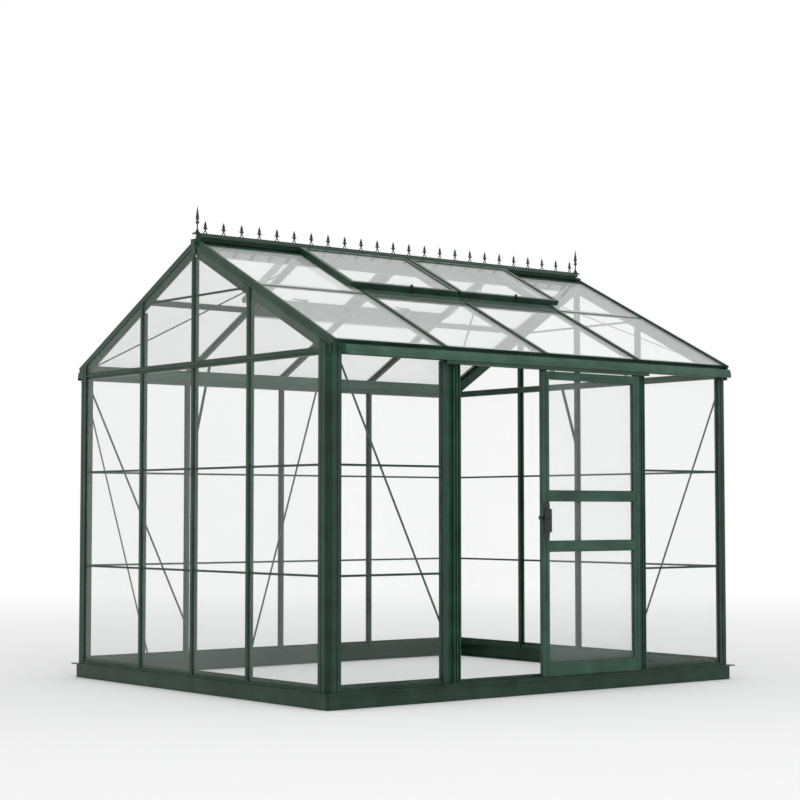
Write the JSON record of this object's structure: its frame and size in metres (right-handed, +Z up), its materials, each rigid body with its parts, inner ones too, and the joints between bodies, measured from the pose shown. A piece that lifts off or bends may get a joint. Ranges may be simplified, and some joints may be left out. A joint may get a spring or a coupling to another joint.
{
  "type": "walk-in greenhouse",
  "caption": "Walk-in garden greenhouse with green aluminium bars, clear glass, a sliding door on the long side, opening roof vents and ridge cresting.",
  "frame": {"origin": "on the ground at the centre of the plan, midway between the gables and between the long walls", "axes": "+X along the ridge, +Z up, the long side with the door faces -Y"},
  "size_m": [3.092, 2.723, 2.764],
  "materials": {
    "green_base": "semi-gloss powder coat",
    "green_posts": "semi-gloss powder coat",
    "green_bars": "semi-gloss powder coat",
    "green_eaves": "semi-gloss powder coat",
    "green_gutter": "semi-gloss powder coat",
    "green_verge": "semi-gloss powder coat",
    "green_roof": "semi-gloss powder coat",
    "green_ridge": "semi-gloss powder coat",
    "green_crest": "semi-gloss powder coat",
    "green_door": "semi-gloss powder coat",
    "green_vent": "semi-gloss powder coat",
    "green_brace": "semi-gloss powder coat",
    "black_plastic": "fine matt",
    "handle_black": "satin moulded",
    "joint_strip": "satin extruded",
    "roller_plastic": "smooth nylon",
    "bolt_metal": "plain",
    "glass_clear": "polished",
    "glass_roof": "polished",
    "glass_vent": "polished"
  },
  "bodies": {
    "frame": {"base_rails": "green_base", "base_corner_joints": "black_plastic", "corner_posts": "green_posts", "wall_bars_front": "green_bars", "wall_bars_back": "green_bars", "gable_bars": "green_bars", "gable_eaves_bars": "green_bars", "sills": "green_base", "eave_rails": "green_eaves", "gutter_front": "green_gutter", "gutter_back": "green_gutter", "gutter_end_caps": "green_gutter", "gutter_outlets": "black_plastic", "verge_bars": "green_verge", "roof_bars_front": "green_roof", "roof_bars_back": "green_roof", "bar_end_plugs": "black_plastic", "ridge_beam": "green_ridge", "ridge_end_plates": "green_ridge", "ridge_crest_rail": "green_crest", "ridge_fleurs": "green_crest", "ridge_finials": "green_crest", "vent_sills": "green_roof", "roof_purlins": "green_roof", "roof_edge_strips": "green_roof", "glass_front": "glass_clear", "glass_back": "glass_clear", "glass_gables": "glass_clear", "glass_roof": "glass_roof", "glass_joint_strips": "joint_strip", "wall_braces": "green_brace", "roof_braces": "green_brace", "frame_bolts": "bolt_metal", "door_jamb": "green_door", "door_stop_post": "green_door", "door_threshold": "green_base", "door_track": "green_door", "stay_pegs": "handle_black"},
    "door": {"door_stiles": "green_door", "door_rails": "green_door", "glass_door": "glass_clear", "door_hangers": "bolt_metal", "door_guide_shoes": "black_plastic", "door_handle": "handle_black"},
    "door_latch_turn": {"door_latch": "handle_black"},
    "roller_left": {"door_roller_left": "roller_plastic"},
    "roller_right": {"door_roller_right": "roller_plastic"},
    "vent_front_left": {"vent_frame_front_left": "green_vent", "vent_glass_front_left": "glass_vent"},
    "stay_front_left": {"vent_stay_front_left": "handle_black"},
    "vent_front_right": {"vent_frame_front_right": "green_vent", "vent_glass_front_right": "glass_vent"},
    "stay_front_right": {"vent_stay_front_right": "handle_black"},
    "vent_back_left": {"vent_frame_back_left": "green_vent", "vent_glass_back_left": "glass_vent"},
    "stay_back_left": {"vent_stay_back_left": "handle_black"},
    "vent_back_right": {"vent_frame_back_right": "green_vent", "vent_glass_back_right": "glass_vent"},
    "stay_back_right": {"vent_stay_back_right": "handle_black"}
  },
  "joints": [
    {"name": "door_slide", "type": "slide", "parent": "frame", "child": "door", "axis": [-1, 0, 0], "range_m": [0, 0.585]},
    {"name": "latch_turn", "type": "hinge", "parent": "door", "child": "door_latch_turn", "pos_m": [-0.029, -1.345, 0.981], "axis": [0, 1, 0], "range_deg": [-30, 0]},
    {"name": "roller_left_spin", "type": "hinge", "parent": "door", "child": "roller_left", "pos_m": [0.038, -1.3375, 1.8298], "axis": [0, 1, 0], "range_deg": [-2800, 0]},
    {"name": "roller_right_spin", "type": "hinge", "parent": "door", "child": "roller_right", "pos_m": [0.628, -1.3375, 1.8298], "axis": [0, 1, 0], "range_deg": [-2800, 0]},
    {"name": "vent_front_left_hinge", "type": "hinge", "parent": "frame", "child": "vent_front_left", "pos_m": [0, -0.0398, 2.56516], "axis": [-1, 0, 0], "range_deg": [0, 40]},
    {"name": "stay_front_left_swing", "type": "hinge", "parent": "vent_front_left", "child": "stay_front_left", "pos_m": [-0.36, -0.49462, 2.33887], "axis": [0, -0.8944, -0.4472], "range_deg": [0, 90]},
    {"name": "vent_front_right_hinge", "type": "hinge", "parent": "frame", "child": "vent_front_right", "pos_m": [0, -0.0398, 2.56516], "axis": [-1, 0, 0], "range_deg": [0, 40]},
    {"name": "stay_front_right_swing", "type": "hinge", "parent": "vent_front_right", "child": "stay_front_right", "pos_m": [0.46, -0.49462, 2.33887], "axis": [0, -0.8944, -0.4472], "range_deg": [0, 90]},
    {"name": "vent_back_left_hinge", "type": "hinge", "parent": "frame", "child": "vent_back_left", "pos_m": [0, 0.0398, 2.56516], "axis": [1, 0, 0], "range_deg": [0, 40]},
    {"name": "stay_back_left_swing", "type": "hinge", "parent": "vent_back_left", "child": "stay_back_left", "pos_m": [-0.36, 0.49462, 2.33887], "axis": [0, -0.8944, 0.4472], "range_deg": [0, 90]},
    {"name": "vent_back_right_hinge", "type": "hinge", "parent": "frame", "child": "vent_back_right", "pos_m": [0, 0.0398, 2.56516], "axis": [1, 0, 0], "range_deg": [0, 40]},
    {"name": "stay_back_right_swing", "type": "hinge", "parent": "vent_back_right", "child": "stay_back_right", "pos_m": [0.46, 0.49462, 2.33887], "axis": [0, -0.8944, 0.4472], "range_deg": [0, 90]}
  ],
  "couplings": [
    {"joint": "roller_left_spin", "follows": "door_slide", "rad_per_m": -83.333},
    {"joint": "roller_right_spin", "follows": "door_slide", "rad_per_m": -83.333}
  ]
}
